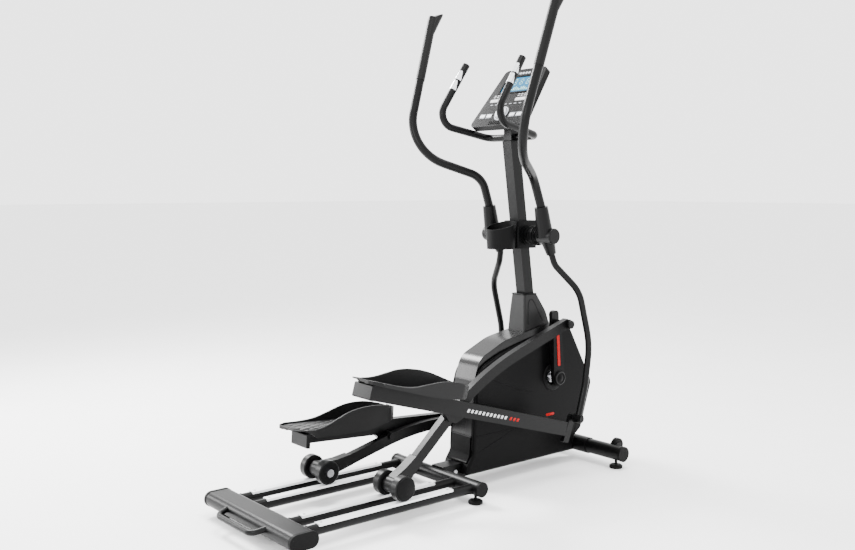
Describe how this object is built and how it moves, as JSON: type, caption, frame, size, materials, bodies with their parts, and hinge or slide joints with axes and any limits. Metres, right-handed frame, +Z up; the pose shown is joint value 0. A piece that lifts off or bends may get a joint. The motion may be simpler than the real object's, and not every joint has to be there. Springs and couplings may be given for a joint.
{
  "type": "elliptical trainer",
  "caption": "Upright exercise machine with a drive housing, swinging handlebars, a console on a leaning mast, and dished foot plates on roller arms that run on rails.",
  "frame": {"origin": "centre of the plan outline at floor level", "axes": "+X from the rear rails towards the drive housing, +Y to the user's left, +Z up"},
  "size_m": [1.527, 0.688, 1.6869],
  "materials": {
    "black_steel": "satin powder coat",
    "black_plastic": "fine textured",
    "gloss_plastic": "glossy moulded",
    "rubber": "matte",
    "roller": "satin moulded",
    "aluminium": "brushed",
    "bare_steel": "machined",
    "chrome": "polished",
    "cast": "painted cast",
    "lcd": "glossy screen",
    "grey_plastic": "satin",
    "magnet": "plated"
  },
  "bodies": {
    "root": {"rear_stabilizer": "black_steel", "front_stabilizer": "black_steel", "middle_crossbar": "black_steel", "rail_tubes": "black_steel", "main_beam": "black_steel", "mast": "black_steel", "transport_handle": "black_steel", "drive_frame": "black_steel", "fixed_handlebar": "black_steel", "tube_end_caps": "black_plastic", "rear_lower_cover": "black_plastic", "cup_holder": "black_plastic", "console_back": "black_plastic", "console_face": "black_plastic", "hub_bushes": "black_plastic", "right_housing_shell": "gloss_plastic", "left_housing_shell": "gloss_plastic", "spine_cover": "gloss_plastic", "mast_boot": "gloss_plastic", "leveling_feet": "rubber", "track_strips": "aluminium", "frame_fasteners": "bare_steel", "pivot_axle": "bare_steel", "pulse_plates": "chrome", "console_screen": "lcd", "power_inlet": "black_plastic", "crank_bearings": "bare_steel", "drive_belt": "rubber"},
    "crank": {"crank_axle": "bare_steel", "drive_pulley": "aluminium", "right_crank_arm": "black_steel", "left_crank_arm": "black_steel", "crank_covers": "black_plastic"},
    "flywheel": {"flywheel": "cast"},
    "brake": {"brake_magnets": "magnet"},
    "right_carrying_wheel": {"right_transport_wheel": "black_plastic"},
    "left_carrying_wheel": {"left_transport_wheel": "black_plastic"},
    "dial": {"console_dial": "grey_plastic"},
    "key_left_outer": {"key_left_outer": "grey_plastic"},
    "key_left_inner": {"key_left_inner": "grey_plastic"},
    "key_right_inner": {"key_right_inner": "grey_plastic"},
    "key_right_outer": {"key_right_outer": "grey_plastic"},
    "right_stride": {"right_roller_axle": "bare_steel"},
    "right_wheels": {"right_rollers": "roller"},
    "right_arm": {"right_roller_arm": "black_steel"},
    "right_bar": {"right_pedal_bar": "black_steel", "right_pedal": "black_plastic"},
    "right_swing": {"right_handlebar": "black_steel", "right_grip": "rubber", "right_pivot_sleeve": "black_steel", "right_lower_arm": "black_steel"},
    "left_stride": {"left_roller_axle": "bare_steel"},
    "left_wheels": {"left_rollers": "roller"},
    "left_arm": {"left_roller_arm": "black_steel"},
    "left_bar": {"left_pedal_bar": "black_steel", "left_pedal": "black_plastic"},
    "left_swing": {"left_handlebar": "black_steel", "left_grip": "rubber", "left_pivot_sleeve": "black_steel", "left_lower_arm": "black_steel"}
  },
  "joints": [
    {"name": "crank_spin", "type": "hinge", "parent": "root", "child": "crank", "pos_m": [0.533, 0, 0.342], "axis": [0, 1, 0], "continuous": true},
    {"name": "flywheel_spin", "type": "hinge", "parent": "root", "child": "flywheel", "pos_m": [0.27, 0, 0.262], "axis": [0, 1, 0], "continuous": true},
    {"name": "right_stride_slide", "type": "slide", "parent": "root", "child": "right_stride", "axis": [1, 0, 0], "range_m": [-0.222, 0.138]},
    {"name": "right_roller_spin", "type": "hinge", "parent": "right_stride", "child": "right_wheels", "pos_m": [-0.27329, -0.1475, 0.111], "axis": [0, 1, 0], "range_deg": [-321, 200.7]},
    {"name": "right_roller_arm_tilt", "type": "hinge", "parent": "right_stride", "child": "right_arm", "pos_m": [-0.27329, -0.142, 0.111], "axis": [0, 1, 0], "range_deg": [0, 27.36]},
    {"name": "right_pedal_bar_tilt", "type": "hinge", "parent": "right_arm", "child": "right_bar", "pos_m": [-0.04922, -0.15, 0.301], "axis": [0, 1, 0], "range_deg": [-40.4, 0]},
    {"name": "right_handle_swing", "type": "hinge", "parent": "root", "child": "right_swing", "pos_m": [0.419, -0.14, 0.87], "axis": [0, 1, 0], "range_deg": [-12.1, 19.4]},
    {"name": "left_stride_slide", "type": "slide", "parent": "root", "child": "left_stride", "axis": [1, 0, 0], "range_m": [-0.138, 0.222]},
    {"name": "left_roller_spin", "type": "hinge", "parent": "left_stride", "child": "left_wheels", "pos_m": [-0.35759, 0.1475, 0.111], "axis": [0, 1, 0], "range_deg": [-200.7, 321]},
    {"name": "left_roller_arm_tilt", "type": "hinge", "parent": "left_stride", "child": "left_arm", "pos_m": [-0.35759, 0.142, 0.111], "axis": [0, 1, 0], "range_deg": [-27.41, 0]},
    {"name": "left_pedal_bar_tilt", "type": "hinge", "parent": "left_arm", "child": "left_bar", "pos_m": [-0.07126, 0.15, 0.17677], "axis": [0, 1, 0], "range_deg": [0, 40.4]},
    {"name": "left_handle_swing", "type": "hinge", "parent": "root", "child": "left_swing", "pos_m": [0.419, 0.14, 0.87], "axis": [0, 1, 0], "range_deg": [-19.4, 12.1]},
    {"name": "brake_swing", "type": "hinge", "parent": "root", "child": "brake", "pos_m": [0.377, 0, 0.212], "axis": [0, 1, 0], "range_deg": [-6, 0]},
    {"name": "right_carrying_wheel_spin", "type": "hinge", "parent": "root", "child": "right_carrying_wheel", "pos_m": [0.7375, -0.205, 0.079], "axis": [0, 1, 0], "continuous": true},
    {"name": "left_carrying_wheel_spin", "type": "hinge", "parent": "root", "child": "left_carrying_wheel", "pos_m": [0.7375, 0.205, 0.079], "axis": [0, 1, 0], "continuous": true},
    {"name": "key_left_outer_press", "type": "slide", "parent": "root", "child": "key_left_outer", "axis": [-0.7997, 0, 0.6004], "range_m": [-0.0012, 0], "stiffness_N_per_m": 400},
    {"name": "key_left_inner_press", "type": "slide", "parent": "root", "child": "key_left_inner", "axis": [-0.7997, 0, 0.6004], "range_m": [-0.0012, 0], "stiffness_N_per_m": 400},
    {"name": "key_right_inner_press", "type": "slide", "parent": "root", "child": "key_right_inner", "axis": [-0.7997, 0, 0.6004], "range_m": [-0.0012, 0], "stiffness_N_per_m": 400},
    {"name": "key_right_outer_press", "type": "slide", "parent": "root", "child": "key_right_outer", "axis": [-0.7997, 0, 0.6004], "range_m": [-0.0012, 0], "stiffness_N_per_m": 400},
    {"name": "dial_turn", "type": "hinge", "parent": "root", "child": "dial", "pos_m": [0.32362, 0, 1.30078], "axis": [-0.7997, 0, 0.6004], "continuous": true}
  ],
  "couplings": [
    {"joint": "flywheel_spin", "follows": "crank_spin", "ratio": 6},
    {"joint": "right_roller_spin", "follows": "right_stride_slide", "rad_per_m": 25},
    {"joint": "right_pedal_bar_tilt", "follows": "right_roller_arm_tilt", "ratio": -1.4642},
    {"joint": "right_handle_swing", "follows": "right_stride_slide", "rad_per_m": -1.5193},
    {"joint": "left_stride_slide", "follows": "right_stride_slide", "ratio": -1},
    {"joint": "left_roller_spin", "follows": "right_stride_slide", "rad_per_m": -25},
    {"joint": "left_roller_arm_tilt", "follows": "right_roller_arm_tilt", "ratio": -1},
    {"joint": "left_pedal_bar_tilt", "follows": "right_roller_arm_tilt", "ratio": 1.4642},
    {"joint": "left_handle_swing", "follows": "right_stride_slide", "rad_per_m": 1.5193}
  ]
}
